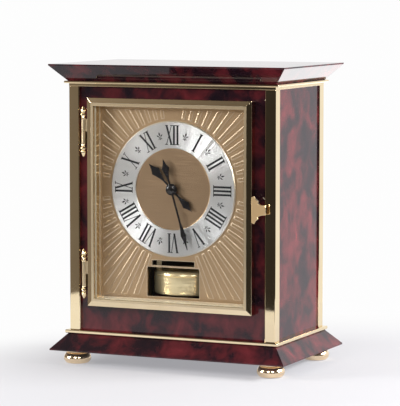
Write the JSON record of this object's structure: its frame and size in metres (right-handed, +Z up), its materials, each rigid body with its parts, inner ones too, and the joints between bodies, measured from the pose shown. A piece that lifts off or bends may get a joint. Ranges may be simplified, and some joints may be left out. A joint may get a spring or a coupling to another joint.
{
  "type": "table clock",
  "caption": "Table clock in a flared lacquer and brass case, with a hinged glazed door, sunburst dial and a turning pendulum behind a window.",
  "frame": {"origin": "on the floor, under the middle of the case", "axes": "+Z up, the dial looks towards -Y, +X to the right of someone who reads the dial"},
  "size_m": [0.2068, 0.1288, 0.2454],
  "materials": {
    "lacquer": "burgundy lacquer, mottled, high gloss",
    "polished_brass": "polished and gilded",
    "gilt_dial": "satin brushed",
    "silvered": "silvered, satin",
    "black_steel": "gloss black",
    "clear_glass": "clear, polished",
    "movement_brass": "gilded, satin",
    "steel": "polished"
  },
  "bodies": {
    "case": {"base_plinth": "lacquer", "top_cornice": "lacquer", "front_panel": "lacquer", "back_panel": "lacquer", "side_panel_left": "lacquer", "side_panel_right": "lacquer", "base_moulding": "polished_brass", "top_moulding": "polished_brass", "corner_post_front_left": "polished_brass", "corner_post_front_right": "polished_brass", "corner_post_rear_left": "polished_brass", "corner_post_rear_right": "polished_brass", "foot_rear_left": "polished_brass", "foot_rear_right": "polished_brass", "back_screw_lower_left": "polished_brass", "back_screw_lower_right": "polished_brass", "back_screw_upper_left": "polished_brass", "back_screw_upper_right": "polished_brass", "case_knuckle_upper": "polished_brass", "case_knuckle_lower": "polished_brass", "hinge_pin_upper": "polished_brass", "hinge_pin_lower": "polished_brass", "dial_surround": "polished_brass", "dial_plate": "gilt_dial", "dial_centre": "gilt_dial", "chapter_ring": "silvered", "movement_platform": "movement_brass", "movement_front_plate": "movement_brass", "movement_back_plate": "movement_brass", "platform_column_left": "movement_brass", "platform_column_right": "movement_brass", "suspension_tube": "movement_brass", "bellows_housing": "movement_brass", "bellows_capsule": "steel", "counter_spring": "steel"},
    "door": {"door_frame": "polished_brass", "door_glass": "clear_glass", "glass_bead": "polished_brass", "door_pull": "polished_brass", "door_knuckle_upper": "polished_brass", "door_knuckle_lower": "polished_brass"},
    "minute_arbor": {"minute_hand": "black_steel", "hand_cap": "black_steel", "centre_wheel": "movement_brass", "cannon_pinion": "steel"},
    "hour_pipe": {"hour_hand": "black_steel", "hour_wheel": "movement_brass"},
    "motion_wheel": {"minute_wheel": "movement_brass"},
    "third_arbor": {"third_wheel": "movement_brass"},
    "escape_arbor": {"escape_wheel": "movement_brass"},
    "spring_barrel": {"barrel": "movement_brass"},
    "winding": {"winding_arbor": "steel"},
    "lever": {"pallet_lever": "steel"},
    "pendulum": {"pendulum_ring": "polished_brass", "pendulum_strap": "polished_brass", "suspension_wire": "steel"},
    "foot_left": {"levelling_foot_left": "polished_brass"},
    "foot_right": {"levelling_foot_right": "polished_brass"},
    "plunger": {"bellows_plunger": "steel"}
  },
  "joints": [
    {"name": "door_swing", "type": "hinge", "parent": "case", "child": "door", "pos_m": [-0.0758, -0.055, 0.13355], "axis": [0, 0, -1], "range_deg": [0, 110]},
    {"name": "minute_turn", "type": "hinge", "parent": "case", "child": "minute_arbor", "pos_m": [0, -0.03, 0.146], "axis": [0, 1, 0], "continuous": true},
    {"name": "hour_turn", "type": "hinge", "parent": "case", "child": "hour_pipe", "pos_m": [0, -0.03, 0.146], "axis": [0, 1, 0], "continuous": true},
    {"name": "motion_wheel_turn", "type": "hinge", "parent": "case", "child": "motion_wheel", "pos_m": [-0.01316, -0.03, 0.14121], "axis": [0, 1, 0], "continuous": true},
    {"name": "third_turn", "type": "hinge", "parent": "case", "child": "third_arbor", "pos_m": [-0.0063, -0.03, 0.15691], "axis": [0, 1, 0], "continuous": true},
    {"name": "escape_turn", "type": "hinge", "parent": "case", "child": "escape_arbor", "pos_m": [0.00461, -0.03, 0.16321], "axis": [0, 1, 0], "continuous": true},
    {"name": "barrel_turn", "type": "hinge", "parent": "case", "child": "spring_barrel", "pos_m": [0, -0.03, 0.1264], "axis": [0, 1, 0], "continuous": true},
    {"name": "winding_turn", "type": "hinge", "parent": "case", "child": "winding", "pos_m": [0, -0.03, 0.1264], "axis": [0, 1, 0], "continuous": true},
    {"name": "lever_rock", "type": "hinge", "parent": "case", "child": "lever", "pos_m": [0.00461, -0.03, 0.17671], "axis": [0, 1, 0], "range_deg": [-3, 3]},
    {"name": "pendulum_turn", "type": "hinge", "parent": "case", "child": "pendulum", "pos_m": [0, -0.0142, 0.0676], "axis": [0, 0, 1], "range_deg": [-200, 200], "stiffness_Nm_per_rad": 0.0000012},
    {"name": "foot_left_screw", "type": "slide", "parent": "case", "child": "foot_left", "axis": [0, 0, -1], "range_m": [0, 0.004]},
    {"name": "foot_right_screw", "type": "slide", "parent": "case", "child": "foot_right", "axis": [0, 0, -1], "range_m": [0, 0.004]},
    {"name": "plunger_slide", "type": "slide", "parent": "case", "child": "plunger", "axis": [0, -1, 0], "range_m": [0, 0.0025], "stiffness_N_per_m": 800, "deforming": ["counter_spring", "bellows_capsule"]}
  ],
  "couplings": [
    {"joint": "hour_turn", "follows": "minute_turn", "ratio": 0.083333},
    {"joint": "motion_wheel_turn", "follows": "minute_turn", "ratio": -0.33333},
    {"joint": "third_turn", "follows": "minute_turn", "ratio": -2},
    {"joint": "escape_turn", "follows": "minute_turn", "ratio": 4},
    {"joint": "barrel_turn", "follows": "minute_turn", "ratio": -0.16667}
  ]
}
